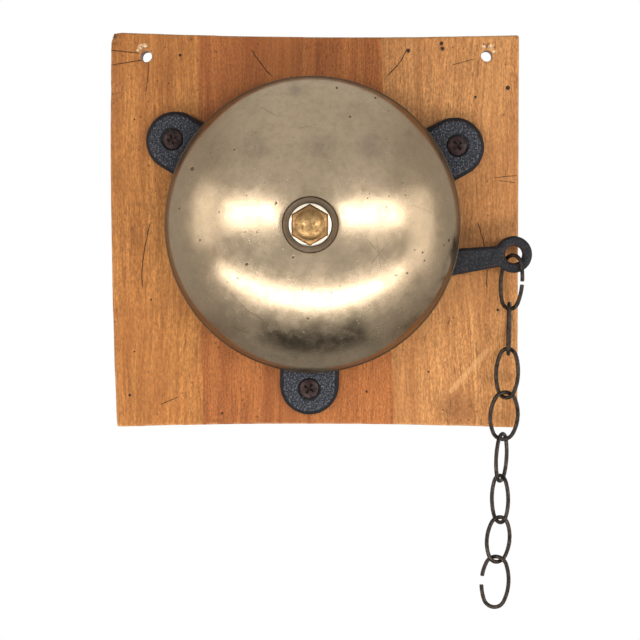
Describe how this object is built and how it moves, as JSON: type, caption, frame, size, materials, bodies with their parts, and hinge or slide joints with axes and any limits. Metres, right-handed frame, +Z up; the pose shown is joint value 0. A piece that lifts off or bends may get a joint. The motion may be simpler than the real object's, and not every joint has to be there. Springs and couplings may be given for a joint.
{
  "type": "hand-pulled trip gong on a wooden board",
  "caption": "Domed brass trip gong on a black cast bracket, rung by a pull lever and an open-link chain, screwed to a glued wooden board with hanging holes.",
  "frame": {"origin": "midway between the two hanging holes, on the board's back face", "axes": "+X to the viewer's right, +Z up, the front faces -Y and the back face lies in the plane Y = 0"},
  "size_m": [0.2919, 0.1124, 0.3997],
  "materials": {
    "stave_wood_light": "aged amber varnish on light softwood",
    "stave_wood_dark": "aged varnish on redder heartwood",
    "bracket_iron": "black paint on sand-cast iron",
    "lever_iron": "black paint on sand-cast iron, worn at the ring",
    "screw_steel": "brown oxidised steel",
    "gong_brass": "polished bell metal, tarnished",
    "nut_brass": "bright worn brass",
    "leather": "plain oiled leather",
    "mechanism_steel": "plain oiled steel",
    "spring_steel": "bright drawn wire",
    "chain_wire": "dark bronzed wire"
  },
  "bodies": {
    "mounted_board": {"stave_left": "stave_wood_light", "stave_middle": "stave_wood_dark", "stave_right": "stave_wood_light", "base_bracket": "bracket_iron", "bracket_screws": "screw_steel", "seat_washer": "leather", "gong_stud": "mechanism_steel", "gong": "gong_brass", "cap_washer": "nut_brass", "cap_nut": "nut_brass", "lever_pivot_screw": "mechanism_steel", "lever_pivot_washer": "mechanism_steel", "lever_return_spring": "spring_steel", "hammer_pivot_screw": "mechanism_steel", "hammer_pivot_washer": "mechanism_steel", "hammer_spring": "spring_steel", "hammer_buffer": "leather", "spring_anchor": "mechanism_steel"},
    "lever": {"pull_lever": "lever_iron", "dog_pivot_pin": "mechanism_steel", "dog_spring": "spring_steel"},
    "hammer": {"hammer_arm": "lever_iron", "hammer_head": "mechanism_steel", "hammer_head_rivet": "mechanism_steel"},
    "dog": {"trip_dog": "mechanism_steel"},
    "link_1": {"chain_link_1": "chain_wire"},
    "link_2": {"chain_link_2": "chain_wire"},
    "link_3": {"chain_link_3": "chain_wire"},
    "link_4": {"chain_link_4": "chain_wire"},
    "link_5": {"chain_link_5": "chain_wire"},
    "link_6": {"chain_link_6": "chain_wire"},
    "link_7": {"chain_link_7": "chain_wire"},
    "link_8": {"chain_link_8": "chain_wire"}
  },
  "joints": [
    {"name": "lever_pull", "type": "hinge", "parent": "mounted_board", "child": "lever", "pos_m": [-0.0201, -0.0345, -0.15683], "axis": [0, 1, 0], "range_deg": [0, 12], "stiffness_Nm_per_rad": 1, "springref_deg": -51.57, "deforming": ["lever_return_spring"]},
    {"name": "hammer_swing", "type": "hinge", "parent": "mounted_board", "child": "hammer", "pos_m": [-0.06191, -0.043, -0.08033], "axis": [0, -1, 0], "range_deg": [0, 12], "deforming": ["hammer_spring"]},
    {"name": "trip_dog_yield", "type": "hinge", "parent": "lever", "child": "dog", "pos_m": [-0.05801, -0.0348, -0.12471], "axis": [0, 1, 0], "range_deg": [0, 25], "stiffness_Nm_per_rad": 0.01, "springref_deg": -34.38, "deforming": ["dog_spring"]},
    {"name": "link_1_swing", "type": "hinge", "parent": "lever", "child": "link_1", "pos_m": [0.1361, -0.0315, -0.13942], "axis": [0, 1, 0], "range_deg": [-12, 12]},
    {"name": "link_2_swing", "type": "hinge", "parent": "link_1", "child": "link_2", "pos_m": [0.13339, -0.0315, -0.17273], "axis": [-1, 0, 0], "range_deg": [0, 16]},
    {"name": "link_3_swing", "type": "hinge", "parent": "link_2", "child": "link_3", "pos_m": [0.1329, -0.0315, -0.20382], "axis": [0, 1, 0], "range_deg": [-16, 16]},
    {"name": "link_4_swing", "type": "hinge", "parent": "link_3", "child": "link_4", "pos_m": [0.13113, -0.0315, -0.23398], "axis": [-1, 0, 0], "range_deg": [0, 16]},
    {"name": "link_5_swing", "type": "hinge", "parent": "link_4", "child": "link_5", "pos_m": [0.12903, -0.0315, -0.26281], "axis": [0, 1, 0], "range_deg": [-16, 16]},
    {"name": "link_6_swing", "type": "hinge", "parent": "link_5", "child": "link_6", "pos_m": [0.12767, -0.0315, -0.29168], "axis": [-1, 0, 0], "range_deg": [0, 16]},
    {"name": "link_7_swing", "type": "hinge", "parent": "link_6", "child": "link_7", "pos_m": [0.12732, -0.0315, -0.32058], "axis": [0, 1, 0], "range_deg": [-16, 16]},
    {"name": "link_8_swing", "type": "hinge", "parent": "link_7", "child": "link_8", "pos_m": [0.12547, -0.0315, -0.34812], "axis": [-1, 0, 0], "range_deg": [0, 16]}
  ],
  "couplings": [
    {"joint": "hammer_swing", "follows": "lever_pull", "ratio": 1}
  ]
}
